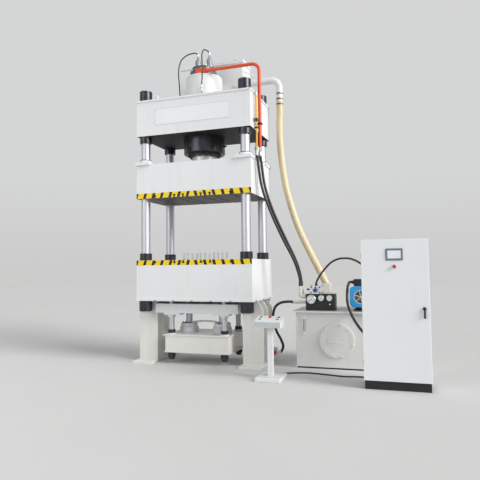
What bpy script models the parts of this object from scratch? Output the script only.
# A four-column hydraulic press with its lower cushion, pedestal, power unit and cabinet.
# Lengths are in metres, +Z is up and -Y is the operator's side.

import math

import bmesh
import bpy
from mathutils import Matrix, Vector

# Gaps between touching pieces and running clearances
GAP = 0.0003
COLUMN_CLEARANCE = 0.001
RAM_CLEARANCE = 0.005
BUTTON_CLEARANCE = 0.0005

# Bed, slide and crown
TABLE_WIDTH = 2.0
TABLE_DEPTH = 1.10
BED_TOP = 1.68
BED_HEIGHT = 0.66
DAYLIGHT = 1.02
SLIDE_HEIGHT = 0.57
CROWN_BOTTOM = 3.75
CROWN_HEIGHT = 0.605
LIP = 0.012
LIP_THICKNESS = 0.03
BED_LIP_THICKNESS = 0.042

# T-slots of bed and slide, by their distance from the middle
SLOT_OFFSETS = (0.155, 0.31, 0.66)
SLOT_WIDTH = 0.028
SLOT_DEPTH = 0.05
SLOT_HEAD_WIDTH = 0.048
SLOT_HEAD_HEIGHT = 0.02

# Columns and their round nuts
COLUMN_SPAN_X = 1.76
COLUMN_SPAN_Y = 0.90
COLUMN_DIAMETER = 0.148
COLUMN_STUB = 0.02
COLUMN_CHAMFER = 0.008
TABLE_NUT_DIAMETER = 0.20
TABLE_NUT_HEIGHT = 0.115
UNDER_NUT_DIAMETER = 0.215
UNDER_NUT_HEIGHT = 0.17
COLLAR_DIAMETER = 0.20
COLLAR_HEIGHT = 0.09
CAP_NUT_DIAMETER = 0.21
CAP_NUT_HEIGHT = 0.175
NUT_CHAMFER = 0.008

# Stands under the bed
FOOT_INNER_X = 0.745
FOOT_WIDTH = 0.345
FOOT_DEPTH = 1.03
FOOT_THICKNESS = 0.035
ANCHOR_HOLE_DIAMETER = 0.034
ANCHOR_EDGE = 0.05
STAND_INNER_X = 0.75
STAND_WIDTH = 0.335
STAND_DEPTH = 0.57
STAND_PLATE = 0.03
SHOULDER_DROP = 0.135

# Lifting lugs on the crown
LUG_X = 0.69
LUG_Y = 0.45
LUG_WIDTH = 0.10
LUG_HEIGHT = 0.105
LUG_THICKNESS = 0.03
LUG_HOLE_DIAMETER = 0.04

# Main cylinder and ram
BARREL_DIAMETER = 0.63
BARREL_TOP = 4.80
BARREL_NECK_DIAMETER = 0.56
BARREL_BOTTOM = 3.44
BORE_DIAMETER = 0.43
BARREL_CROWN = 0.10
LOCK_NUT_DIAMETER = 0.70
LOCK_NUT_HEIGHT = 0.28
PILOT_PORT_X = 0.095
PILOT_PORT_Z = 4.47
PILOT_PORT_DIAMETER = 0.03
PILOT_PORT_REACH = 0.03
PILOT_PORT_HEIGHT = 0.08
RAM_TOP_ROOM = 0.03
RAM_FLANGE_DIAMETER = 0.56
RAM_FLANGE_HEIGHT = 0.045
BUSH_PLATE = 0.27
BUSH_PLATE_THICKNESS = 0.03
BUSH_DIAMETER = 0.21
BUSH_HEIGHT = 0.075

# Fill tank behind the cylinder
FILL_TANK_WIDTH = 1.20
FILL_TANK_FRONT = 0.33
FILL_TANK_DEPTH = 0.42
FILL_TANK_TOP = 5.20
FILL_TANK_LID = 0.06
BREATHER_X = 0.40
BREATHER_DIAMETER = 0.17
BREATHER_HEIGHT = 0.07

# Prefill valve and orange pressure pipe
VALVE_DIAMETER = 0.46
VALVE_X = -0.02
VALVE_Y = 0.02
VALVE_HEIGHT = 0.19
VALVE_RIM_HEIGHT = 0.12
VALVE_NECK_DIAMETER = 0.40
PILOT_DIAMETER = 0.11
PILOT_HEIGHT = 0.19
PILOT_OFFSETS = (-0.10, 0.114)
NIPPLE_DIAMETER = 0.028
NIPPLE_HEIGHT = 0.055
PRESSURE_PIPE_DIAMETER = 0.056
PRESSURE_BLOCK_X = (-0.035, 0.155)
PRESSURE_BLOCK_DEPTH = 0.08
PRESSURE_BLOCK_HEIGHT = 0.085
PRESSURE_PIPE_Y = -0.26
PRESSURE_PIPE_ROOM = 0.03
PRESSURE_PIPE_END = 3.38
PRESSURE_BEND = 0.13
BRASS_PIPE_DIAMETER = 0.03
BRASS_PIPE_ROOM = 0.013
BRASS_PIPE_Y = -0.345
BRASS_PIPE_TOP = 4.34

# White suction pipe
SUCTION_DIAMETER = 0.115
SUCTION_PIPE_X = 1.21
SUCTION_PIPE_Y = 0.50
SUCTION_PIPE_Z = 4.81
SUCTION_PIPE_END = 4.42
SUCTION_BEND = 0.15

# Lower cushion
CUSHION_STROKE_ROOM = 0.05
CUSHION_TRAVEL = 0.12
CUSHION_NUT_ROOM = 0.0525
CUSHION_SIDE_ROOM = 0.03
CUSHION_PLATE_DEPTH = 0.84
CUSHION_PLATE_THICKNESS = 0.15
PIN_HEIGHT_ABOVE_BED = 0.12
PIN_DIAMETER = 0.03
PIN_CLEARANCE = 0.003
PIN_COLUMNS = (-0.235, 0.0, 0.235)
PIN_ROWS = (-0.20, 0.0, 0.20)
PIN_OUTER_X = 0.39
GUIDE_FLANGE_X = 0.423
GUIDE_FLANGE_WIDTH = 0.285
GUIDE_FLANGE_DEPTH = 0.17
GUIDE_FLANGE_THICKNESS = 0.03
GUIDE_COLLAR_DIAMETER = 0.14
GUIDE_COLLAR_HEIGHT = 0.035
CUSHION_ROD_DIAMETER = 0.11
TIE_ROD_X = 0.463
TIE_ROD_Y = 0.34
TIE_ROD_DIAMETER = 0.09
TIE_SEAT_DIAMETER = 0.15
TIE_SEAT_HEIGHT = 0.02
TIE_NUT_DIAMETER = 0.125
TIE_NUT_HEIGHT = 0.055
TIE_FOOT_NUT_HEIGHT = 0.08
TIE_ROD_STUB = 0.115
BEAM_WIDTH = 1.11
BEAM_DEPTH = 0.80
BEAM_TOP = 0.475
BEAM_BOTTOM = 0.183
BEAM_LIP = 0.02
BEAM_FOOT_LIP = 0.008
BEAM_LIP_THICKNESS = 0.02
CUSHION_CYLINDER_X = 0.298
CUSHION_CYLINDER_DIAMETER = 0.315
CUSHION_HEAD_DIAMETER = 0.28
CUSHION_CYLINDER_HEIGHT = 0.155
CUSHION_STEP_HEIGHT = 0.095
CUSHION_BORE_DEPTH = 0.14
CUSHION_PIPE_DIAMETER = 0.04
CUSHION_PIPE_Y = 0.135
CUSHION_PIPE_Z = 0.225
CUSHION_PIPE_HOLE = 0.06
CUSHION_VALVE_X = 1.15
CUSHION_VALVE_SIZE = 0.08
CUSHION_VALVE_HEIGHT = 0.15
CUSHION_VALVE_DROP = 0.05

# Two-hand pedestal
PEDESTAL_X = 1.42
PEDESTAL_Y = -1.075
PEDESTAL_BASE_WIDTH = 0.355
PEDESTAL_BASE_DEPTH = 0.42
PEDESTAL_BASE_HEIGHT = 0.055
POST_SIZE = 0.075
PANEL_WIDTH = 0.38
PANEL_DEPTH = 0.25
PANEL_FRONT_Y = -1.25
PANEL_BOTTOM = 0.725
PANEL_FRONT_HEIGHT = 0.08
PANEL_BACK_HEIGHT = 0.14
BUTTON_DIAMETER = 0.036
BUTTON_PROUD = 0.012
BUTTON_DEPTH = 0.012
BUTTON_BORE_DEPTH = 0.020
BUTTON_OFFSET_X = 0.125
BUTTON_BACK_ROW = 0.07
BUTTON_FRONT_ROW = 0.155
MUSHROOM_DIAMETER = 0.045
MUSHROOM_HEIGHT = 0.014
MUSHROOM_SEAT = 0.003

# Oil tank and what stands on it
OIL_TANK_X = 1.575
OIL_TANK_FRONT = -0.15
OIL_TANK_WIDTH = 1.285
OIL_TANK_DEPTH = 0.90
OIL_TANK_HEIGHT = 0.87
TANK_LIP = 0.05
TANK_LID_THICKNESS = 0.025
HATCH_X = 2.206
HATCH_Z = 0.43
HATCH_DIAMETER = 0.53
HATCH_THICKNESS = 0.02
GAUGE_BLOCK_X = 1.71
GAUGE_BLOCK_WIDTH = 0.455
GAUGE_BLOCK_FRONT = -0.02
GAUGE_BLOCK_DEPTH = 0.20
GAUGE_BLOCK_HEIGHT = 0.25
GAUGE_THICKNESS = 0.04
GAUGES = ((0.093, 0.169, 0.072), (0.249, 0.19, 0.047), (0.376, 0.19, 0.047))
PORT_DIAMETER = 0.066
PORT_REACH = 0.09
PORT_LENGTH = 0.195
PRESSURE_PORT_Z = 1.083
PRESSURE_PORT_OFFSETS = (0.045, 0.125)
CUSHION_PORT_DIAMETER = 0.046
CUSHION_PORT_REACH = 0.14
CUSHION_PORT_Z = 0.99
CUSHION_PORT_OFFSET = 0.05
STACK_X = 1.765
STACK_WIDTH = 0.215
STACK_HEIGHT = 0.125
STACK_FRONT = 0.0
STACK_DEPTH = 0.15
SOLENOID_WIDTH = 0.12
SOLENOID_HEIGHT = 0.172
MOTOR_X = 2.563
MOTOR_Z = 1.082
MOTOR_DIAMETER = 0.30
MOTOR_FRONT = -0.05
MOTOR_LENGTH = 0.45
COWL_WIDTH = 0.336
COWL_HEIGHT = 0.32
COWL_DEPTH = 0.14
COWL_CORNER = 0.07
COWL_CORNER_STEPS = 4
MOTOR_FOOT_WIDTH = 0.26
MOTOR_FOOT_DEPTH = 0.26
MOTOR_FOOT_INSET = 0.12
TERMINAL_X = 2.52
TERMINAL_WIDTH = 0.14
TERMINAL_DEPTH = 0.15
TERMINAL_TOP = 1.35
TERMINAL_INSET = 0.08
HOSE_SOCKET_X = 2.02
HOSE_SOCKET_Y = 0.36
HOSE_SOCKET_DIAMETER = 0.15
HOSE_SOCKET_HEIGHT = 0.12

# Electrical cabinet
CABINET_X = 2.70
CABINET_WIDTH = 0.82
CABINET_FRONT = -1.30
CABINET_DEPTH = 0.45
CABINET_TOP = 1.89
PLINTH_HEIGHT = 0.11
PLINTH_INSET = 0.01
CABINET_WALL = 0.02
DOOR_THICKNESS = 0.022
DOOR_MARGIN = 0.004
DOOR_BOSS_DIAMETER = 0.05
DOOR_BOSS_HEIGHT = 0.012
DOOR_BUTTON_X = 3.113
DOOR_BUTTON_Z = 1.545
HANDLE_X = 3.455
HANDLE_Z = 1.02
HANDLE_LENGTH = 0.12
HANDLE_WIDTH = 0.024
HANDLE_THICKNESS = 0.014
HANDLE_PIN_DIAMETER = 0.02
HANDLE_STANDOFF = 0.012
HANDLE_BORE_DEPTH = 0.012

# Hoses and cables
PRESSURE_HOSE_DIAMETER = 0.042
CUSHION_HOSE_DIAMETER = 0.042
MOTOR_CABLE_DIAMETER = 0.04
MOTOR_CABLE_INSET = 0.04
MOTOR_CABLE_DROP = 0.045
MOTOR_CABLE_END = (0.11, 0.48)
CONTROL_CABLE_DIAMETER = 0.03
CONTROL_CABLE_START = (0.10, 0.07)
CONTROL_CABLE_END = (0.06, 1.50)
PILOT_HOSE_DIAMETER = 0.02
PILOT_HOSE_FOOT = (-0.40, -0.12)
PEDESTAL_CABLE_DIAMETER = 0.02
PEDESTAL_CABLE_Z = 0.03
PEDESTAL_CABLE_END = (0.15, 0.05)
THIN_HOSE = 0.03

# Facets of round pieces
FINE = 24
ROUND = 16
BUTTON_SIDES = 12
SMALL = 8

# Heights and places that follow from the sizes above
BED_BOTTOM = BED_TOP - BED_HEIGHT
SLIDE_BOTTOM = BED_TOP + DAYLIGHT
SLIDE_TOP = SLIDE_BOTTOM + SLIDE_HEIGHT
CROWN_TOP = CROWN_BOTTOM + CROWN_HEIGHT
COLUMN_PLACES = {
    "front_left": (-COLUMN_SPAN_X / 2, -COLUMN_SPAN_Y / 2),
    "front_right": (COLUMN_SPAN_X / 2, -COLUMN_SPAN_Y / 2),
    "back_left": (-COLUMN_SPAN_X / 2, COLUMN_SPAN_Y / 2),
    "back_right": (COLUMN_SPAN_X / 2, COLUMN_SPAN_Y / 2),
}
MACHINE_SIDE = max(TABLE_WIDTH / 2 + LIP, (COLUMN_SPAN_X + max(CAP_NUT_DIAMETER, COLLAR_DIAMETER)) / 2)
PRESSURE_PIPE_X = MACHINE_SIDE + PRESSURE_PIPE_ROOM + PRESSURE_PIPE_DIAMETER / 2
PRESSURE_PIPE_Z = BARREL_TOP + GAP + PRESSURE_BLOCK_HEIGHT / 2
BRASS_PIPE_X = MACHINE_SIDE + BRASS_PIPE_ROOM + BRASS_PIPE_DIAMETER / 2
NUT_INNER_X = (COLUMN_SPAN_X - UNDER_NUT_DIAMETER) / 2
CUSHION_PLATE_WIDTH = 2 * min(NUT_INNER_X - CUSHION_NUT_ROOM, STAND_INNER_X - CUSHION_SIDE_ROOM)
CUSHION_TOP = BED_BOTTOM - CUSHION_STROKE_ROOM
CUSHION_BOTTOM = CUSHION_TOP - CUSHION_PLATE_THICKNESS
TIE_ROD_PLACES = [(x * TIE_ROD_X, y * TIE_ROD_Y) for x in (-1, 1) for y in (-1, 1)]
PIN_PLACES = [(x, y) for x in PIN_COLUMNS for y in PIN_ROWS]
PIN_PLACES += [(-PIN_OUTER_X, 0.0), (PIN_OUTER_X, 0.0)]
PANEL_TILT = math.atan2(PANEL_BACK_HEIGHT - PANEL_FRONT_HEIGHT, PANEL_DEPTH)
PANEL_BACK_Y = PANEL_FRONT_Y + PANEL_DEPTH
BUTTON_PLACES = {
    "stop_button": (0.0, BUTTON_BACK_ROW),
    "hand_button_left": (-BUTTON_OFFSET_X, BUTTON_BACK_ROW),
    "hand_button_right": (BUTTON_OFFSET_X, BUTTON_BACK_ROW),
    "start_button_left": (-BUTTON_OFFSET_X, BUTTON_FRONT_ROW),
    "start_button_right": (BUTTON_OFFSET_X, BUTTON_FRONT_ROW),
}
OIL_TANK_TOP = OIL_TANK_HEIGHT
BLOCK_TOP = OIL_TANK_TOP + GAP + GAUGE_BLOCK_HEIGHT
CABINET_BACK = CABINET_FRONT + CABINET_DEPTH
DOOR_FRONT = CABINET_FRONT
BODY_FRONT = CABINET_FRONT + DOOR_THICKNESS + GAP
STOP_BUTTON_REACH = DOOR_BOSS_HEIGHT + BUTTON_PROUD - MUSHROOM_SEAT + MUSHROOM_HEIGHT
HANDLE_REACH = HANDLE_STANDOFF + HANDLE_THICKNESS

# The origin is on the floor, under the middle of the whole machine's box
LEFT_END = -max(FOOT_INNER_X + FOOT_WIDTH, TABLE_WIDTH / 2 + LIP)
RIGHT_END = max(CABINET_X + CABINET_WIDTH, OIL_TANK_X + OIL_TANK_WIDTH + TANK_LIP)
FRONT_END = min(DOOR_FRONT - STOP_BUTTON_REACH, DOOR_FRONT - HANDLE_REACH)
BACK_END = max(
    OIL_TANK_FRONT + OIL_TANK_DEPTH + TANK_LIP,
    FILL_TANK_FRONT + FILL_TANK_DEPTH + LIP,
)
CENTRE = Vector(((LEFT_END + RIGHT_END) / 2, (FRONT_END + BACK_END) / 2, 0))

for old in list(bpy.data.objects):
    bpy.data.objects.remove(old)

scene = bpy.context.scene
parts = bpy.data.collections.new("hydraulic_press")
helpers = bpy.data.collections.new("cutters")
scene.collection.children.link(parts)
scene.collection.children.link(helpers)

root = bpy.data.objects.new("press_origin", None)
root.location = -CENTRE
parts.objects.link(root)


def material(name, colour, roughness, metallic=0.0):
    made = bpy.data.materials.new(name)
    made.use_nodes = True
    shader = made.node_tree.nodes["Principled BSDF"]
    shader.inputs["Base Color"].default_value = (*colour, 1)
    shader.inputs["Roughness"].default_value = roughness
    shader.inputs["Metallic"].default_value = metallic
    return made


WHITE = material("white_paint", (0.74, 0.75, 0.76), 0.4)
TANK_GREY = material("warm_grey_paint", (0.62, 0.62, 0.60), 0.45)
BLACK = material("black_steel", (0.02, 0.02, 0.025), 0.4, 0.6)
CHROME = material("chrome", (0.75, 0.75, 0.77), 0.12, 1.0)
ORANGE = material("orange_paint", (0.72, 0.06, 0.015), 0.35)
STEEL = material("zinc_steel", (0.55, 0.56, 0.57), 0.35, 1.0)
BRASS = material("yellow_brass", (0.75, 0.45, 0.08), 0.3, 1.0)
BLUE = material("blue_paint", (0.03, 0.12, 0.42), 0.4)
RED = material("red_plastic", (0.6, 0.02, 0.02), 0.35)
GREEN = material("green_plastic", (0.0, 0.3, 0.16), 0.35)
DARK = material("dark_plastic", (0.02, 0.02, 0.02), 0.5)
RUBBER = material("black_rubber", (0.015, 0.015, 0.017), 0.6)
CREAM = material("cream_hose", (0.72, 0.62, 0.42), 0.55)


def add(name, mesh, finish, location=(0, 0, 0), turn=(0, 0, 0)):
    made = bpy.data.objects.new(name, mesh)
    parts.objects.link(made)
    made.parent = root
    made.location = location
    made.rotation_euler = turn
    mesh.materials.append(finish)
    return made


def hide(helper):
    """Turns an object into a helper that only Boolean modifiers use."""
    parts.objects.unlink(helper)
    helpers.objects.link(helper)
    helper.hide_render = True
    helper.display_type = "WIRE"


def boolean(target, others, operation):
    for other in others:
        modifier = target.modifiers.new(other.name, "BOOLEAN")
        modifier.operation = operation
        modifier.solver = "EXACT"
        modifier.object = other
        hide(other)
    return target


def join(target, *others):
    return boolean(target, others, "UNION")


def cut(target, *others):
    return boolean(target, others, "DIFFERENCE")


def smooth(target):
    target.data.shade_smooth()
    target.data.set_sharp_from_angle(angle=math.radians(35))
    return target


def block(name, x, y, z, finish):
    """A box between two values on each axis, placed by its centre."""
    low = Vector((min(x), min(y), min(z)))
    high = Vector((max(x), max(y), max(z)))
    mesh = bpy.data.meshes.new(name)
    shape = bmesh.new()
    bmesh.ops.create_cube(shape, size=1)
    bmesh.ops.scale(shape, vec=high - low, verts=shape.verts)
    shape.to_mesh(mesh)
    shape.free()
    return add(name, mesh, finish, (low + high) / 2)


AXIS_TURNS = {"X": (0, math.pi / 2, 0), "Y": (-math.pi / 2, 0, 0), "Z": (0, 0, 0)}


def drum(name, diameter, start, length, finish, axis="Z", sides=ROUND, turn=None):
    """A round bar that starts at a point and runs along +X, +Y or +Z, or along a turned +Z."""
    mesh = bpy.data.meshes.new(name)
    shape = bmesh.new()
    radius = diameter / 2
    lift = Matrix.Translation((0, 0, length / 2))
    bmesh.ops.create_cone(
        shape, cap_ends=True, segments=sides, radius1=radius, radius2=radius, depth=length, matrix=lift
    )
    shape.to_mesh(mesh)
    shape.free()
    return smooth(add(name, mesh, finish, start, turn or AXIS_TURNS[axis]))


def turned(name, profile, centre, finish, sides=ROUND, ring=False):
    """A profile of (radius, height) points, from the top down its outer side, turned about the vertical."""
    mesh = bpy.data.meshes.new(name)
    shape = bmesh.new()
    points = [shape.verts.new((radius, 0, height)) for radius, height in profile]
    for first, second in zip(points, points[1:]):
        shape.edges.new((first, second))
    if ring:
        shape.edges.new((points[-1], points[0]))
    shape.to_mesh(mesh)
    shape.free()
    made = add(name, mesh, finish, centre)
    screw = made.modifiers.new("turn", "SCREW")
    screw.steps = sides
    screw.render_steps = sides
    screw.use_merge_vertices = True
    screw.merge_threshold = 0.0001
    return made


def nut(name, diameter, hole, bottom, height, place, finish):
    """A round nut with both outer edges chamfered."""
    outer = diameter / 2
    top = bottom + height
    profile = (
        (hole / 2, top),
        (outer - NUT_CHAMFER, top),
        (outer, top - NUT_CHAMFER),
        (outer, bottom + NUT_CHAMFER),
        (outer - NUT_CHAMFER, bottom),
        (hole / 2, bottom),
    )
    return turned(name, profile, (*place, 0), finish, ring=True)


def evaluated_mesh(made):
    """Replaces a curve by a mesh object with its caps welded on."""
    graph = bpy.context.evaluated_depsgraph_get()
    mesh = bpy.data.meshes.new_from_object(made.evaluated_get(graph))
    shape = bmesh.new()
    shape.from_mesh(mesh)
    bmesh.ops.remove_doubles(shape, verts=shape.verts, dist=0.00001)
    shape.to_mesh(mesh)
    shape.free()
    name = made.name
    finish = made.data.materials[0]
    location = made.location.copy()
    turn = made.rotation_euler.copy()
    bpy.data.objects.remove(made)
    mesh.materials.clear()
    return add(name, mesh, finish, location, turn)


def plate(name, outline, thickness, centre, finish, turn=(0, 0, 0)):
    """A flat outline in its own XY plane, thickened about that plane."""
    curve = bpy.data.curves.new(name, "CURVE")
    curve.dimensions = "2D"
    curve.fill_mode = "BOTH"
    curve.extrude = thickness / 2
    line = curve.splines.new("POLY")
    line.points.add(len(outline) - 1)
    for point, (u, v) in zip(line.points, outline):
        point.co = (u, v, 0, 1)
    line.use_cyclic_u = True
    return evaluated_mesh(add(name, curve, finish, centre, turn))


def hang(made, place):
    """Gives a hinged piece an empty on its axis as its parent."""
    pivot = bpy.data.objects.new(f"{made.name}_axis", None)
    parts.objects.link(pivot)
    pivot.parent = root
    pivot.location = place
    made.parent = pivot
    made.location -= Vector(place)


UPRIGHT = (math.pi / 2, 0, 0)
CROSSWISE = (math.pi / 2, 0, math.pi / 2)


def tube(name, points, diameter, finish, resolution=2):
    """A round tube along points, with filled ends."""
    curve = bpy.data.curves.new(name, "CURVE")
    curve.dimensions = "3D"
    curve.bevel_depth = diameter / 2
    curve.bevel_resolution = resolution
    curve.use_fill_caps = True
    line = curve.splines.new("POLY")
    line.points.add(len(points) - 1)
    for point, place in zip(line.points, points):
        point.co = (*place, 1)
    return add(name, curve, finish)


def bent(points, radius, steps=5):
    """The points of a pipe whose inner corners are arcs."""
    points = [Vector(point) for point in points]
    route = [points[0]]
    for before, corner, after in zip(points, points[1:], points[2:]):
        towards = (before - corner).normalized()
        away = (after - corner).normalized()
        half = towards.angle(away) / 2
        middle = corner + (towards + away).normalized() * (radius / math.sin(half))
        first = corner + towards * (radius / math.tan(half)) - middle
        last = corner + away * (radius / math.tan(half)) - middle
        for step in range(steps + 1):
            route.append(middle + radius * first.slerp(last, step / steps))
    route.append(points[-1])
    return route


def flowing(points, spacing):
    """A straight first and last run with one smooth curve between them, evenly spaced."""
    knots = [Vector(point) for point in points]
    fine = []
    for a, b, c, d in zip(knots, knots[1:], knots[2:], knots[3:]):
        for step in range(20):
            t = step / 20
            fine.append(
                0.5
                * (
                    2 * b
                    + (c - a) * t
                    + (2 * a - 5 * b + 4 * c - d) * t * t
                    + (3 * b - a - 3 * c + d) * t**3
                )
            )
    fine.append(knots[-2])
    total = sum((q - p).length for p, q in zip(fine, fine[1:]))
    count = max(2, round(total / spacing))
    route = [knots[0], knots[1]]
    walked = 0.0
    for p, q in zip(fine, fine[1:]):
        step = (q - p).length
        while step and len(route) <= count and walked + step >= (len(route) - 1) * total / count:
            route.append(p.lerp(q, ((len(route) - 1) * total / count - walked) / step))
        walked += step
    route += [knots[-2], knots[-1]]
    return route


def hose(name, start, out, route, end, back, diameter, finish):
    """A hose that leaves both fittings square to them."""
    run = 1.5 * diameter
    first = Vector(start) + run * Vector(out)
    last = Vector(end) + run * Vector(back)
    knots = (start, first, *route, last, end)
    if diameter > THIN_HOSE:
        tube(name, flowing(knots, 2.8 * diameter), diameter, finish, 2)
    else:
        tube(name, flowing(knots, 4.5 * diameter), diameter, finish, 1)


def tee_slots(name, surface, direction):
    """Cutters for the T-slots that open on a bed's top, direction 1, or a slide's underside, -1."""
    half, head = SLOT_WIDTH / 2, SLOT_HEAD_WIDTH / 2
    floor = -SLOT_DEPTH
    shelf = floor + SLOT_HEAD_HEIGHT
    outline = [(-half, LIP), (-half, shelf), (-head, shelf), (-head, floor)]
    outline += [(-u, v) for u, v in reversed(outline)]
    outline = [(u, v * direction) for u, v in outline]
    length = TABLE_DEPTH + 4 * LIP
    return [
        plate(f"{name}_{side * offset:+.3f}", outline, length, (side * offset, 0, surface), BLACK, UPRIGHT)
        for offset in SLOT_OFFSETS
        for side in (-1, 1)
    ]


def column_holes(name, bottom, top, diameter):
    return [
        drum(f"{name}_{key}", diameter, (x, y, bottom), top - bottom, BLACK)
        for key, (x, y) in COLUMN_PLACES.items()
    ]


def table_box(name, bottom, top, rims):
    """A welded box with a proud plate between each two heights given."""
    half_x, half_y = TABLE_WIDTH / 2, TABLE_DEPTH / 2
    body = block(name, (-half_x, half_x), (-half_y, half_y), (bottom, top), WHITE)
    for index, heights in enumerate(rims):
        rim = block(
            f"{name}_rim_{index}",
            (-half_x - LIP, half_x + LIP),
            (-half_y - LIP, half_y + LIP),
            heights,
            WHITE,
        )
        join(body, rim)
    return body


def build_bed():
    bed = table_box("bed", BED_BOTTOM, BED_TOP, [(BED_BOTTOM, BED_BOTTOM + BED_LIP_THICKNESS)])
    below, above = BED_BOTTOM - LIP, BED_TOP + LIP
    cut(bed, *column_holes("bed_hole", below, above, COLUMN_DIAMETER + 2 * COLUMN_CLEARANCE))
    cut(bed, *tee_slots("bed_slot", BED_TOP, 1))
    width = PIN_DIAMETER + 2 * PIN_CLEARANCE
    for index, (x, y) in enumerate(PIN_PLACES):
        cut(bed, drum(f"pin_hole_{index}", width, (x, y, below), above - below, BLACK, sides=SMALL))


def build_slide():
    slide = table_box("slide", SLIDE_BOTTOM, SLIDE_TOP, [])
    for key, (x, y) in COLUMN_PLACES.items():
        half = BUSH_PLATE / 2
        seat = SLIDE_TOP - LIP
        flange = block(
            f"bush_plate_{key}",
            (x - half, x + half),
            (y - half, y + half),
            (seat, SLIDE_TOP + BUSH_PLATE_THICKNESS),
            WHITE,
        )
        bush = drum(f"bush_{key}", BUSH_DIAMETER, (x, y, seat), LIP + BUSH_HEIGHT, WHITE)
        join(slide, flange, bush)
    low, high = SLIDE_BOTTOM - LIP, SLIDE_TOP + BUSH_HEIGHT + LIP
    cut(slide, *column_holes("slide_hole", low, high, COLUMN_DIAMETER + 2 * COLUMN_CLEARANCE))
    cut(slide, *tee_slots("slide_slot", SLIDE_BOTTOM, -1))


def build_crown():
    crown = table_box("crown", CROWN_BOTTOM, CROWN_TOP, [(CROWN_TOP - LIP_THICKNESS, CROWN_TOP)])
    radius = LUG_WIDTH / 2
    shoulder = LUG_HEIGHT - radius
    arch = [
        (radius * math.cos(angle), shoulder + radius * math.sin(angle))
        for angle in (math.pi * step / 6 for step in range(7))
    ]
    outline = arch + [(-radius, -LIP), (radius, -LIP)]
    lugs = []
    eyes = []
    for x in (-LUG_X, LUG_X):
        for y in (-LUG_Y, LUG_Y):
            spot = f"{x:+.2f}_{y:+.2f}"
            lugs.append(plate(f"lug_{spot}", outline, LUG_THICKNESS, (x, y, CROWN_TOP), WHITE, UPRIGHT))
            start = (x, y - LUG_THICKNESS, CROWN_TOP + shoulder)
            eyes.append(
                drum(f"lug_eye_{spot}", LUG_HOLE_DIAMETER, start, 2 * LUG_THICKNESS, BLACK, "Y", SMALL)
            )
    join(crown, *lugs)
    cut(crown, *eyes)
    low, high = CROWN_BOTTOM - LIP, CROWN_TOP + LIP
    cut(crown, *column_holes("crown_hole", low, high, COLUMN_DIAMETER + 2 * COLUMN_CLEARANCE))
    neck = BARREL_NECK_DIAMETER + 2 * GAP
    cut(crown, drum("crown_bore", neck, (0, 0, low), high - low, BLACK, sides=FINE))


def build_columns():
    """Each column with its collar under the crown and its three round nuts."""
    radius = COLUMN_DIAMETER / 2
    collar = COLLAR_DIAMETER / 2
    thread = COLUMN_DIAMETER + 2 * GAP
    low = BED_BOTTOM - GAP - UNDER_NUT_HEIGHT - COLUMN_STUB
    high = CROWN_TOP + GAP + CAP_NUT_HEIGHT + COLUMN_STUB
    seat = CROWN_BOTTOM - GAP
    profile = (
        (0, high),
        (radius - COLUMN_CHAMFER, high),
        (radius, high - COLUMN_CHAMFER),
        (radius, seat),
        (collar, seat),
        (collar, seat - COLLAR_HEIGHT),
        (radius, seat - COLLAR_HEIGHT),
        (radius, low + COLUMN_CHAMFER),
        (radius - COLUMN_CHAMFER, low),
        (0, low),
    )
    for key, place in COLUMN_PLACES.items():
        turned(f"column_{key}", profile, (*place, 0), CHROME)
        under = BED_BOTTOM - GAP - UNDER_NUT_HEIGHT
        nut(f"bed_lower_nut_{key}", UNDER_NUT_DIAMETER, thread, under, UNDER_NUT_HEIGHT, place, BLACK)
        nut(f"bed_top_nut_{key}", TABLE_NUT_DIAMETER, thread, BED_TOP + GAP, TABLE_NUT_HEIGHT, place, BLACK)
        nut(f"crown_top_nut_{key}", CAP_NUT_DIAMETER, thread, CROWN_TOP + GAP, CAP_NUT_HEIGHT, place, BLACK)


def build_stand(side, name):
    """One stand: foot plate, inner web and three cross plates whose shoulders slope out from the bed."""
    inner = side * STAND_INNER_X
    outer = side * (STAND_INNER_X + STAND_WIDTH)
    bed_edge = side * TABLE_WIDTH / 2
    top = BED_BOTTOM - GAP
    foot_inner = side * FOOT_INNER_X
    foot_outer = side * (FOOT_INNER_X + FOOT_WIDTH)
    half = FOOT_DEPTH / 2
    stand = block(name, (foot_inner, foot_outer), (-half, half), (0, FOOT_THICKNESS), WHITE)
    seat = FOOT_THICKNESS / 2
    reach = STAND_DEPTH / 2
    web = block(
        f"{name}_web", (inner, inner + side * STAND_PLATE), (-reach, reach), (seat, top), WHITE
    )
    outline = [(inner, seat), (outer, seat), (outer, top - SHOULDER_DROP), (bed_edge, top), (inner, top)]
    middles = (-reach + STAND_PLATE / 2, 0, reach - STAND_PLATE / 2)
    cross = [
        plate(f"{name}_cross_{y:+.2f}", outline, STAND_PLATE, (0, y, 0), WHITE, UPRIGHT) for y in middles
    ]
    join(stand, web, *cross)
    for x in (foot_inner + side * ANCHOR_EDGE, foot_outer - side * ANCHOR_EDGE):
        for y in (-half + ANCHOR_EDGE, half - ANCHOR_EDGE):
            hole = drum(
                f"{name}_anchor_{x:+.2f}_{y:+.2f}",
                ANCHOR_HOLE_DIAMETER,
                (x, y, -LIP),
                FOOT_THICKNESS + 2 * LIP,
                BLACK,
                sides=SMALL,
            )
            cut(stand, hole)
    if side > 0:
        start = (STAND_INNER_X - STAND_PLATE, CUSHION_PIPE_Y, CUSHION_PIPE_Z)
        cut(stand, drum(f"{name}_pipe_hole", CUSHION_PIPE_HOLE, start, 3 * STAND_PLATE, BLACK, "X", SMALL))


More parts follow.
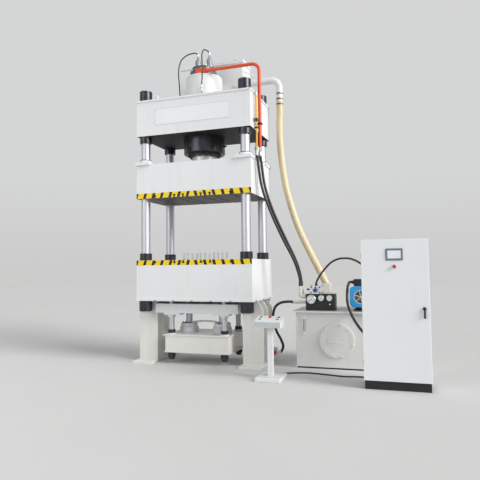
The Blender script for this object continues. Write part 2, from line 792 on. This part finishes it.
def build_cylinder():
    barrel = BARREL_DIAMETER / 2
    neck = BARREL_NECK_DIAMETER / 2
    bore = BORE_DIAMETER / 2
    shoulder = CROWN_TOP + GAP
    bore_top = BARREL_TOP - BARREL_CROWN
    profile = (
        (0, BARREL_TOP),
        (barrel - LIP, BARREL_TOP),
        (barrel, BARREL_TOP - LIP),
        (barrel, shoulder),
        (neck, shoulder),
        (neck, BARREL_BOTTOM),
        (bore, BARREL_BOTTOM),
        (bore, bore_top),
        (0, bore_top),
    )
    cylinder = turned("main_cylinder", profile, (0, 0, 0), WHITE, FINE)
    port_y = -barrel - PILOT_PORT_REACH
    start = (PILOT_PORT_X, port_y, PILOT_PORT_Z)
    arm = drum("pilot_port", PILOT_PORT_DIAMETER, start, PILOT_PORT_REACH + 4 * LIP, STEEL, "Y", SMALL)
    start = (PILOT_PORT_X, port_y, PILOT_PORT_Z - PILOT_PORT_DIAMETER / 2)
    riser = drum("pilot_riser", PILOT_PORT_DIAMETER, start, PILOT_PORT_HEIGHT, STEEL, sides=SMALL)
    join(cylinder, arm, riser)
    outer = LOCK_NUT_DIAMETER / 2
    inner = neck + GAP
    top = CROWN_BOTTOM - GAP
    low = top - LOCK_NUT_HEIGHT
    ring = (
        (inner, top),
        (outer, top),
        (outer, low + LIP),
        (outer - LIP, low),
        (inner, low),
    )
    turned("cylinder_lock_nut", ring, (0, 0, 0), BLACK, FINE, ring=True)
    ram = bore - RAM_CLEARANCE
    flange = RAM_FLANGE_DIAMETER / 2
    seat = SLIDE_TOP + GAP
    plunger = (
        (0, bore_top - RAM_TOP_ROOM),
        (ram, bore_top - RAM_TOP_ROOM),
        (ram, seat + RAM_FLANGE_HEIGHT),
        (flange, seat + RAM_FLANGE_HEIGHT),
        (flange, seat),
        (0, seat),
    )
    turned("ram", plunger, (0, 0, 0), CHROME, FINE)


def build_fill_tank():
    half = FILL_TANK_WIDTH / 2
    front, back = FILL_TANK_FRONT, FILL_TANK_FRONT + FILL_TANK_DEPTH
    tank = block("fill_tank", (-half, half), (front, back), (CROWN_TOP + GAP, FILL_TANK_TOP), WHITE)
    lid = block(
        "fill_tank_lid",
        (-half - LIP, half + LIP),
        (front - LIP, back + LIP),
        (FILL_TANK_TOP - FILL_TANK_LID, FILL_TANK_TOP),
        WHITE,
    )
    middle = (front + back) / 2
    start = (BREATHER_X, middle, FILL_TANK_TOP - LIP)
    breather = drum("breather", BREATHER_DIAMETER, start, LIP + BREATHER_HEIGHT, BLACK)
    join(tank, lid, breather)


def build_prefill_valve():
    """The round valve flange on the cylinder, its neck and its two pilots with a nipple each."""
    low = BARREL_TOP + GAP
    rim, neck = VALVE_DIAMETER / 2, VALVE_NECK_DIAMETER / 2
    top = low + VALVE_HEIGHT
    profile = (
        (0, top),
        (neck, top),
        (neck, low + VALVE_RIM_HEIGHT),
        (rim, low + VALVE_RIM_HEIGHT),
        (rim, low),
        (0, low),
    )
    valve = turned("prefill_valve", profile, (VALVE_X, VALVE_Y, 0), STEEL, FINE)
    for index, offset in enumerate(PILOT_OFFSETS):
        x = VALVE_X + offset
        start = (x, VALVE_Y, top - LIP)
        pilot = drum(f"pilot_{index}", PILOT_DIAMETER, start, LIP + PILOT_HEIGHT, STEEL, sides=BUTTON_SIDES)
        start = (x, VALVE_Y, top + PILOT_HEIGHT - LIP)
        nipple = drum(f"nipple_{index}", NIPPLE_DIAMETER, start, LIP + NIPPLE_HEIGHT, STEEL, sides=SMALL)
        join(valve, pilot, nipple)


def build_pressure_pipe():
    route = bent(
        (
            (PRESSURE_BLOCK_X[1] - LIP, PRESSURE_PIPE_Y, PRESSURE_PIPE_Z),
            (PRESSURE_PIPE_X, PRESSURE_PIPE_Y, PRESSURE_PIPE_Z),
            (PRESSURE_PIPE_X, PRESSURE_PIPE_Y, PRESSURE_PIPE_END),
        ),
        PRESSURE_BEND,
    )
    pipe = evaluated_mesh(tube("pressure_pipe", route, PRESSURE_PIPE_DIAMETER, ORANGE, 3))
    half = PRESSURE_BLOCK_DEPTH / 2
    low = BARREL_TOP + GAP
    manifold = block(
        "pressure_block",
        PRESSURE_BLOCK_X,
        (PRESSURE_PIPE_Y - half, PRESSURE_PIPE_Y + half),
        (low, low + PRESSURE_BLOCK_HEIGHT),
        ORANGE,
    )
    join(pipe, manifold)
    brass = ((BRASS_PIPE_X, BRASS_PIPE_Y, BRASS_PIPE_TOP), (BRASS_PIPE_X, BRASS_PIPE_Y, PRESSURE_PIPE_END))
    evaluated_mesh(tube("brass_pipe", brass, BRASS_PIPE_DIAMETER, BRASS))


def build_suction_pipe():
    start = FILL_TANK_WIDTH / 2 + GAP
    route = bent(
        (
            (start, SUCTION_PIPE_Y, SUCTION_PIPE_Z),
            (SUCTION_PIPE_X, SUCTION_PIPE_Y, SUCTION_PIPE_Z),
            (SUCTION_PIPE_X, SUCTION_PIPE_Y, SUCTION_PIPE_END),
        ),
        SUCTION_BEND,
    )
    tube("suction_pipe", route, SUCTION_DIAMETER, WHITE, 4)


def build_cushion_plate():
    """The moving plate with its pins above, and its rods and guide bushes below."""
    half_x, half_y = CUSHION_PLATE_WIDTH / 2, CUSHION_PLATE_DEPTH / 2
    cushion = block(
        "cushion_plate", (-half_x, half_x), (-half_y, half_y), (CUSHION_BOTTOM, CUSHION_TOP), WHITE
    )
    pin_start = CUSHION_TOP - LIP
    pin_length = BED_TOP + PIN_HEIGHT_ABOVE_BED - pin_start
    for index, (x, y) in enumerate(PIN_PLACES):
        join(cushion, drum(f"pin_{index}", PIN_DIAMETER, (x, y, pin_start), pin_length, STEEL, sides=SMALL))
    under = CUSHION_BOTTOM - GUIDE_FLANGE_THICKNESS
    low = under - GUIDE_COLLAR_HEIGHT
    half = GUIDE_FLANGE_WIDTH / 2
    for index, (x, y) in enumerate(TIE_ROD_PLACES):
        middle = math.copysign(GUIDE_FLANGE_X, x)
        edge = math.copysign(half_y, y)
        inner_edge = math.copysign(half_y - GUIDE_FLANGE_DEPTH, y)
        flange = block(
            f"guide_flange_{index}",
            (middle - half, middle + half),
            (edge, inner_edge),
            (under, CUSHION_BOTTOM + LIP),
            WHITE,
        )
        height = GUIDE_COLLAR_HEIGHT + LIP
        collar = drum(f"guide_collar_{index}", GUIDE_COLLAR_DIAMETER, (x, y, low), height, WHITE)
        join(cushion, flange, collar)
    for side in (-1, 1):
        x = side * CUSHION_CYLINDER_X
        bore_floor = BEAM_TOP + GAP + CUSHION_CYLINDER_HEIGHT - CUSHION_BORE_DEPTH
        rod_low = bore_floor + CUSHION_TRAVEL + 2 * GAP
        length = CUSHION_BOTTOM + LIP - rod_low
        join(cushion, drum(f"cushion_rod_{side}", CUSHION_ROD_DIAMETER, (x, 0, rod_low), length, CHROME))
    width = TIE_ROD_DIAMETER + 2 * COLUMN_CLEARANCE
    for index, (x, y) in enumerate(TIE_ROD_PLACES):
        start = (x, y, low - LIP)
        length = CUSHION_TOP + 2 * LIP - low
        cut(cushion, drum(f"guide_bore_{index}", width, start, length, BLACK))


def build_cushion_beam():
    """The fixed beam and the tie rods that hang it from the bed."""
    half_x, half_y = BEAM_WIDTH / 2, BEAM_DEPTH / 2
    beam = block("cushion_beam", (-half_x, half_x), (-half_y, half_y), (BEAM_BOTTOM, BEAM_TOP), WHITE)
    rims = ((BEAM_BOTTOM, BEAM_FOOT_LIP), (BEAM_TOP - BEAM_LIP_THICKNESS, BEAM_LIP))
    for index, (low, lip) in enumerate(rims):
        rim = block(
            f"beam_rim_{index}",
            (-half_x - lip, half_x + lip),
            (-half_y - lip, half_y + lip),
            (low, low + BEAM_LIP_THICKNESS),
            WHITE,
        )
        join(beam, rim)
    for index, (x, y) in enumerate(TIE_ROD_PLACES):
        low = BEAM_BOTTOM - TIE_ROD_STUB
        rod = drum(f"tie_rod_{index}", TIE_ROD_DIAMETER, (x, y, low), BED_BOTTOM - GAP - low, CHROME)
        start = (x, y, BEAM_TOP - LIP)
        seat = drum(f"tie_seat_{index}", TIE_SEAT_DIAMETER, start, LIP + TIE_SEAT_HEIGHT, WHITE)
        height = LIP + TIE_SEAT_HEIGHT + TIE_NUT_HEIGHT
        collar = drum(f"tie_nut_{index}", TIE_NUT_DIAMETER, start, height, BLACK)
        start = (x, y, BEAM_BOTTOM - TIE_FOOT_NUT_HEIGHT)
        foot_nut = drum(f"tie_foot_nut_{index}", TIE_NUT_DIAMETER, start, TIE_FOOT_NUT_HEIGHT + LIP, BLACK)
        join(beam, rod, seat, collar, foot_nut)


def build_cushion_cylinders():
    outer = CUSHION_CYLINDER_DIAMETER / 2
    head = CUSHION_HEAD_DIAMETER / 2
    bore = CUSHION_ROD_DIAMETER / 2 + COLUMN_CLEARANCE
    low = BEAM_TOP + GAP
    step = low + CUSHION_STEP_HEIGHT
    top = low + CUSHION_CYLINDER_HEIGHT
    floor = top - CUSHION_BORE_DEPTH
    profile = (
        (bore, top),
        (head, top),
        (head, step),
        (outer, step),
        (outer, low),
        (0, low),
        (0, floor),
        (bore, floor),
    )
    for side, name in ((-1, "left"), (1, "right")):
        turned(f"cushion_cylinder_{name}", profile, (side * CUSHION_CYLINDER_X, 0, 0), WHITE, ring=True)


def build_cushion_pipe():
    """The pipe from the beam through the right stand to its stop valve."""
    start = (BEAM_WIDTH / 2 + GAP, CUSHION_PIPE_Y, CUSHION_PIPE_Z)
    length = CUSHION_VALVE_X - start[0]
    pipe = drum("cushion_pipe", CUSHION_PIPE_DIAMETER, start, length, STEEL, "X", SMALL)
    half = CUSHION_VALVE_SIZE / 2
    middle = CUSHION_PIPE_Z - CUSHION_VALVE_DROP
    body = block(
        "cushion_valve",
        (CUSHION_VALVE_X - half, CUSHION_VALVE_X + half),
        (CUSHION_PIPE_Y - half, CUSHION_PIPE_Y + half),
        (middle - CUSHION_VALVE_HEIGHT / 2, middle + CUSHION_VALVE_HEIGHT / 2),
        STEEL,
    )
    join(pipe, body)


def build_pedestal():
    x, y = PEDESTAL_X, PEDESTAL_Y
    half_x, half_y = PEDESTAL_BASE_WIDTH / 2, PEDESTAL_BASE_DEPTH / 2
    stand = block(
        "pedestal_stand", (x - half_x, x + half_x), (y - half_y, y + half_y), (0, PEDESTAL_BASE_HEIGHT), WHITE
    )
    half = POST_SIZE / 2
    seat = PEDESTAL_BASE_HEIGHT - LIP
    post = block(
        "post", (x - half, x + half), (y - half, y + half), (seat, PANEL_BOTTOM - GAP), WHITE
    )
    join(stand, post)
    outline = [
        (PANEL_FRONT_Y, PANEL_BOTTOM),
        (PANEL_BACK_Y, PANEL_BOTTOM),
        (PANEL_BACK_Y, PANEL_BOTTOM + PANEL_BACK_HEIGHT),
        (PANEL_FRONT_Y, PANEL_BOTTOM + PANEL_FRONT_HEIGHT),
    ]
    panel = plate("pedestal_box", outline, PANEL_WIDTH, (x, 0, 0), WHITE, CROSSWISE)
    finishes = {"stop_button": RED, "start_button_left": GREEN, "start_button_right": GREEN}
    for name, (offset, from_back) in BUTTON_PLACES.items():
        place = Vector(
            (
                x + offset,
                PANEL_BACK_Y - from_back,
                PANEL_BOTTOM + PANEL_BACK_HEIGHT - from_back * math.tan(PANEL_TILT),
            )
        )
        button(name, panel, place, (PANEL_TILT, 0, 0), finishes.get(name, DARK), name == "stop_button")


def button(name, holder, place, turn, finish, mushroom):
    """A push button whose shaft slides in a blind bore of its holder, along its own Z."""
    shaft = BUTTON_DIAMETER
    if mushroom:
        shaft = BUTTON_DIAMETER * 0.8
    out = Matrix.Translation(place)
    for angle, axis in zip(turn, "XYZ"):
        out = out @ Matrix.Rotation(angle, 4, axis)
    bottom = out @ Vector((0, 0, -BUTTON_DEPTH))
    made = drum(name, shaft, bottom, BUTTON_DEPTH + BUTTON_PROUD, finish, sides=BUTTON_SIDES, turn=turn)
    if mushroom:
        start = out @ Vector((0, 0, BUTTON_PROUD - MUSHROOM_SEAT))
        size = (MUSHROOM_DIAMETER, start, MUSHROOM_HEIGHT)
        head = drum(f"{name}_head", *size, finish, sides=BUTTON_SIDES, turn=turn)
        join(made, head)
    floor = out @ Vector((0, 0, -BUTTON_BORE_DEPTH))
    width = shaft + 2 * BUTTON_CLEARANCE
    length = BUTTON_BORE_DEPTH + LIP
    cut(holder, drum(f"{name}_bore", width, floor, length, BLACK, sides=BUTTON_SIDES, turn=turn))


def build_oil_tank():
    left, right = OIL_TANK_X, OIL_TANK_X + OIL_TANK_WIDTH
    front, back = OIL_TANK_FRONT, OIL_TANK_FRONT + OIL_TANK_DEPTH
    tank = block("oil_tank", (left, right), (front, back), (0, OIL_TANK_TOP), TANK_GREY)
    lid = block(
        "oil_tank_lid",
        (left - TANK_LIP, right + TANK_LIP),
        (front - TANK_LIP, back + TANK_LIP),
        (OIL_TANK_TOP - TANK_LID_THICKNESS, OIL_TANK_TOP),
        TANK_GREY,
    )
    start = (HOSE_SOCKET_X, HOSE_SOCKET_Y, OIL_TANK_TOP - LIP)
    socket = drum("hose_socket", HOSE_SOCKET_DIAMETER, start, LIP + HOSE_SOCKET_HEIGHT, STEEL)
    join(tank, lid, socket)
    start = (HATCH_X, front - GAP - HATCH_THICKNESS, HATCH_Z)
    drum("tank_hatch", HATCH_DIAMETER, start, HATCH_THICKNESS, TANK_GREY, "Y", FINE)


def build_gauge_block():
    left, right = GAUGE_BLOCK_X, GAUGE_BLOCK_X + GAUGE_BLOCK_WIDTH
    front, back = GAUGE_BLOCK_FRONT, GAUGE_BLOCK_FRONT + GAUGE_BLOCK_DEPTH
    low = OIL_TANK_TOP + GAP
    manifold = block("gauge_block", (left, right), (front, back), (low, BLOCK_TOP), BLACK)
    for index, (x, z, radius) in enumerate(GAUGES):
        start = (left + x, front - GAUGE_THICKNESS, low + z)
        dial = drum(f"gauge_{index}", 2 * radius, start, GAUGE_THICKNESS + LIP, BLACK, "Y", BUTTON_SIDES)
        join(manifold, dial)
    for index, offset in enumerate(PRESSURE_PORT_OFFSETS):
        y = front + offset
        start = (left - PORT_REACH, y, PRESSURE_PORT_Z)
        arm = drum(f"port_arm_{index}", PORT_DIAMETER, start, PORT_REACH + LIP, STEEL, "X", SMALL)
        start = (left - PORT_REACH, y, PRESSURE_PORT_Z - PORT_DIAMETER / 2)
        riser = drum(f"port_riser_{index}", PORT_DIAMETER, start, PORT_LENGTH, STEEL, sides=SMALL)
        join(manifold, arm, riser)
    start = (left - CUSHION_PORT_REACH, front + CUSHION_PORT_OFFSET, CUSHION_PORT_Z)
    length = CUSHION_PORT_REACH + LIP
    join(manifold, drum("cushion_port", CUSHION_PORT_DIAMETER, start, length, STEEL, "X", SMALL))


def build_valve_stack():
    low = BLOCK_TOP + GAP
    front, back = STACK_FRONT, STACK_FRONT + STACK_DEPTH
    right = STACK_X + STACK_WIDTH
    stack = block("valve_stack", (STACK_X, right), (front, back), (low, low + STACK_HEIGHT), STEEL)
    solenoid = block(
        "solenoid", (right - LIP, right + SOLENOID_WIDTH), (front, back), (low, low + SOLENOID_HEIGHT), STEEL
    )
    join(stack, solenoid)


def build_motor():
    """The motor with its rounded square fan cowl, its foot and its terminal box."""
    radius = MOTOR_DIAMETER / 2
    start = (MOTOR_X, MOTOR_FRONT + COWL_DEPTH / 2, MOTOR_Z)
    motor = drum("pump_motor", MOTOR_DIAMETER, start, MOTOR_LENGTH - COWL_DEPTH / 2, BLUE, "Y")
    corner_x, corner_z = COWL_WIDTH / 2 - COWL_CORNER, COWL_HEIGHT / 2 - COWL_CORNER
    outline = []
    for quarter, (side, level) in enumerate(((1, 1), (-1, 1), (-1, -1), (1, -1))):
        for step in range(COWL_CORNER_STEPS + 1):
            angle = (quarter + step / COWL_CORNER_STEPS) * math.pi / 2
            u = side * corner_x + COWL_CORNER * math.cos(angle)
            v = level * corner_z + COWL_CORNER * math.sin(angle)
            outline.append((u, v))
    centre = (MOTOR_X, MOTOR_FRONT + COWL_DEPTH / 2, MOTOR_Z)
    cowl = plate("fan_cowl", outline, COWL_DEPTH, centre, BLUE, UPRIGHT)
    half = MOTOR_FOOT_WIDTH / 2
    foot_front = MOTOR_FRONT + MOTOR_FOOT_INSET
    foot = block(
        "motor_foot",
        (MOTOR_X - half, MOTOR_X + half),
        (foot_front, foot_front + MOTOR_FOOT_DEPTH),
        (OIL_TANK_TOP + GAP, MOTOR_Z - radius / 2),
        BLUE,
    )
    half = TERMINAL_WIDTH / 2
    front = MOTOR_FRONT + TERMINAL_INSET
    terminals = block(
        "terminal_box",
        (TERMINAL_X - half, TERMINAL_X + half),
        (front, front + TERMINAL_DEPTH),
        (MOTOR_Z + radius / 2, TERMINAL_TOP),
        BLACK,
    )
    join(motor, cowl, foot, terminals)


def build_cabinet():
    left, right = CABINET_X, CABINET_X + CABINET_WIDTH
    low = PLINTH_HEIGHT + GAP
    body = block("cabinet_body", (left, right), (BODY_FRONT, CABINET_BACK), (low, CABINET_TOP), WHITE)
    wall = CABINET_WALL
    room = block(
        "cabinet_room",
        (left + wall, right - wall),
        (BODY_FRONT - wall, CABINET_BACK - wall),
        (low + wall, CABINET_TOP - wall),
        BLACK,
    )
    cut(body, room)
    inset = PLINTH_INSET
    block(
        "cabinet_plinth",
        (left + inset, right - inset),
        (BODY_FRONT + inset, CABINET_BACK - inset),
        (0, PLINTH_HEIGHT),
        BLACK,
    )
    margin = DOOR_MARGIN
    door = block(
        "cabinet_door",
        (left + margin, right - margin),
        (DOOR_FRONT, DOOR_FRONT + DOOR_THICKNESS),
        (low + margin, CABINET_TOP - margin),
        WHITE,
    )
    boss_start = (DOOR_BUTTON_X, DOOR_FRONT - DOOR_BOSS_HEIGHT, DOOR_BUTTON_Z)
    boss_length = DOOR_BOSS_HEIGHT + DOOR_THICKNESS / 2
    join(door, drum("door_boss", DOOR_BOSS_DIAMETER, boss_start, boss_length, WHITE, "Y", BUTTON_SIDES))
    facing = (math.pi / 2, 0, 0)
    button("cabinet_stop_button", door, Vector(boss_start), facing, RED, True)
    build_handle(door)
    hang(door, (left + margin, DOOR_FRONT, 0))


def build_handle(door):
    """A lever that hangs from a pin in the door and turns about it."""
    front = DOOR_FRONT - HANDLE_REACH
    half = HANDLE_WIDTH / 2
    lever = block(
        "door_handle",
        (HANDLE_X - half, HANDLE_X + half),
        (front, front + HANDLE_THICKNESS),
        (HANDLE_Z - HANDLE_LENGTH, HANDLE_Z + half),
        BLACK,
    )
    start = (HANDLE_X, front + HANDLE_THICKNESS / 2, HANDLE_Z)
    reach = HANDLE_THICKNESS / 2 + HANDLE_STANDOFF + HANDLE_BORE_DEPTH - BUTTON_CLEARANCE
    join(lever, drum("handle_pin", HANDLE_PIN_DIAMETER, start, reach, STEEL, "Y", BUTTON_SIDES))
    start = (HANDLE_X, DOOR_FRONT - LIP, HANDLE_Z)
    hang(lever, (HANDLE_X, front, HANDLE_Z))
    width = HANDLE_PIN_DIAMETER + 2 * BUTTON_CLEARANCE
    cut(door, drum("handle_bore", width, start, LIP + HANDLE_BORE_DEPTH, BLACK, "Y", BUTTON_SIDES))


UP = (0, 0, 1)
DOWN = (0, 0, -1)
LEFT = (-1, 0, 0)
RIGHT = (1, 0, 0)
BACKWARD = (0, 1, 0)


def build_hoses():
    """The free hoses and cables, each from its fitting to its fitting."""
    hose(
        "suction_hose",
        (SUCTION_PIPE_X, SUCTION_PIPE_Y, SUCTION_PIPE_END - GAP),
        DOWN,
        (
            (1.20, 0.50, 3.92),
            (1.22, 0.50, 3.50),
            (1.28, 0.49, 3.02),
            (1.38, 0.48, 2.60),
            (1.53, 0.46, 2.16),
            (1.72, 0.43, 1.76),
            (1.90, 0.38, 1.42),
        ),
        (HOSE_SOCKET_X, HOSE_SOCKET_Y, OIL_TANK_TOP + HOSE_SOCKET_HEIGHT + GAP),
        UP,
        SUCTION_DIAMETER,
        CREAM,
    )
    port_top = PRESSURE_PORT_Z - PORT_DIAMETER / 2 + PORT_LENGTH + GAP
    port_x = GAUGE_BLOCK_X - PORT_REACH
    near, far = (GAUGE_BLOCK_FRONT + offset for offset in PRESSURE_PORT_OFFSETS)
    hose(
        "pressure_hose_a",
        (PRESSURE_PIPE_X, PRESSURE_PIPE_Y, PRESSURE_PIPE_END - GAP),
        DOWN,
        (
            (1.085, -0.25, 3.20),
            (1.13, -0.22, 2.83),
            (1.24, -0.16, 2.44),
            (1.40, -0.07, 2.03),
            (1.54, 0.035, 1.68),
            (1.60, 0.09, 1.46),
        ),
        (port_x, far, port_top),
        UP,
        PRESSURE_HOSE_DIAMETER,
        RUBBER,
    )
    hose(
        "pressure_hose_b",
        (BRASS_PIPE_X, BRASS_PIPE_Y, PRESSURE_PIPE_END - GAP),
        DOWN,
        (
            (1.055, -0.335, 3.20),
            (1.10, -0.305, 2.83),
            (1.215, -0.245, 2.44),
            (1.375, -0.16, 2.03),
            (1.53, -0.06, 1.68),
            (1.595, 0.0, 1.46),
        ),
        (port_x, near, port_top),
        UP,
        PRESSURE_HOSE_DIAMETER,
        RUBBER,
    )
    hose(
        "cushion_hose",
        (GAUGE_BLOCK_X - CUSHION_PORT_REACH - GAP, GAUGE_BLOCK_FRONT + CUSHION_PORT_OFFSET, CUSHION_PORT_Z),
        LEFT,
        (
            (1.42, 0.035, 0.995),
            (1.29, 0.05, 0.975),
            (1.19, 0.075, 0.905),
            (1.145, 0.10, 0.78),
            (1.15, 0.115, 0.64),
            (1.195, 0.125, 0.50),
            (1.26, 0.13, 0.38),
            (1.295, 0.135, 0.27),
        ),
        (
            CUSHION_VALVE_X + CUSHION_VALVE_SIZE / 2 + GAP,
            CUSHION_PIPE_Y,
            CUSHION_PIPE_Z - CUSHION_VALVE_DROP,
        ),
        RIGHT,
        CUSHION_HOSE_DIAMETER,
        RUBBER,
    )
    along, across = CONTROL_CABLE_START
    inset, height = CONTROL_CABLE_END
    hose(
        "control_cable",
        (STACK_X + along, STACK_FRONT + across, BLOCK_TOP + 2 * GAP + STACK_HEIGHT),
        UP,
        (
            (1.92, 0.04, 1.39),
            (2.01, -0.01, 1.50),
            (2.125, -0.09, 1.605),
            (2.26, -0.20, 1.662),
            (2.41, -0.35, 1.668),
            (2.53, -0.50, 1.64),
            (2.63, -0.64, 1.59),
            (2.70, -0.73, 1.545),
        ),
        (CABINET_X + inset, CABINET_BACK + GAP, height),
        BACKWARD,
        CONTROL_CABLE_DIAMETER,
        RUBBER,
    )
    terminal_left = TERMINAL_X - TERMINAL_WIDTH / 2
    terminal_front = MOTOR_FRONT + TERMINAL_INSET
    inset, height = MOTOR_CABLE_END
    hose(
        "motor_cable",
        (terminal_left - GAP, terminal_front + MOTOR_CABLE_INSET, TERMINAL_TOP - MOTOR_CABLE_DROP),
        LEFT,
        (
            (2.362, 0.03, 1.235),
            (2.358, -0.03, 1.13),
            (2.366, -0.10, 1.02),
            (2.40, -0.205, 0.925),
            (2.455, -0.265, 0.81),
            (2.525, -0.315, 0.70),
            (2.62, -0.41, 0.60),
            (2.72, -0.55, 0.525),
        ),
        (CABINET_X + inset, CABINET_BACK + GAP, height),
        BACKWARD,
        MOTOR_CABLE_DIAMETER,
        RUBBER,
    )
    pilot_top = BARREL_TOP + GAP + VALVE_HEIGHT + PILOT_HEIGHT + NIPPLE_HEIGHT + GAP
    left, right = (VALVE_X + offset for offset in PILOT_OFFSETS)
    foot_x, foot_y = PILOT_HOSE_FOOT
    hose(
        "pilot_hose_a",
        (left, VALVE_Y, pilot_top),
        UP,
        (
            (left - 0.06, VALVE_Y - 0.03, pilot_top + 0.05),
            (-0.29, -0.05, 5.25),
            (-0.385, -0.09, 5.16),
            (-0.425, -0.11, 5.02),
            (-0.428, -0.12, 4.88),
            (-0.41, -0.12, 4.66),
        ),
        (foot_x, foot_y, CROWN_TOP + GAP),
        UP,
        PILOT_HOSE_DIAMETER,
        RUBBER,
    )
    hose(
        "pilot_hose_b",
        (right, VALVE_Y, pilot_top),
        UP,
        (
            (right - 0.025, VALVE_Y - 0.06, pilot_top + 0.05),
            (right - 0.035, VALVE_Y - 0.17, pilot_top + 0.02),
            (0.08, -0.28, 5.12),
            (0.11, -0.345, 4.96),
            (0.12, -0.365, 4.80),
            (0.11, -0.355, 4.66),
        ),
        (
            PILOT_PORT_X,
            -BARREL_DIAMETER / 2 - PILOT_PORT_REACH,
            PILOT_PORT_Z - PILOT_PORT_DIAMETER / 2 + PILOT_PORT_HEIGHT + GAP,
        ),
        UP,
        PILOT_HOSE_DIAMETER,
        RUBBER,
    )
    inset, height = PEDESTAL_CABLE_END
    floor = PEDESTAL_CABLE_DIAMETER / 2 + 4 * GAP
    hose(
        "pedestal_cable",
        (PEDESTAL_X, PEDESTAL_Y + PEDESTAL_BASE_DEPTH / 2 + GAP, PEDESTAL_CABLE_Z),
        BACKWARD,
        (
            (1.42, -0.78, 0.018),
            (1.48, -0.71, floor),
            (1.62, -0.62, floor),
            (1.85, -0.56, floor),
            (2.10, -0.60, floor),
            (2.35, -0.66, floor),
            (2.58, -0.63, floor),
            (2.76, -0.66, floor),
            (2.84, -0.74, 0.03),
        ),
        (CABINET_X + inset, CABINET_BACK - PLINTH_INSET + GAP, height),
        BACKWARD,
        PEDESTAL_CABLE_DIAMETER,
        RUBBER,
    )


build_bed()
build_slide()
build_crown()
build_columns()
build_stand(-1, "leg_left")
build_stand(1, "leg_right")
build_cylinder()
build_fill_tank()
build_prefill_valve()
build_pressure_pipe()
build_suction_pipe()
build_cushion_plate()
build_cushion_beam()
build_cushion_cylinders()
build_cushion_pipe()
build_pedestal()
build_oil_tank()
build_gauge_block()
build_valve_stack()
build_motor()
build_cabinet()
build_hoses()
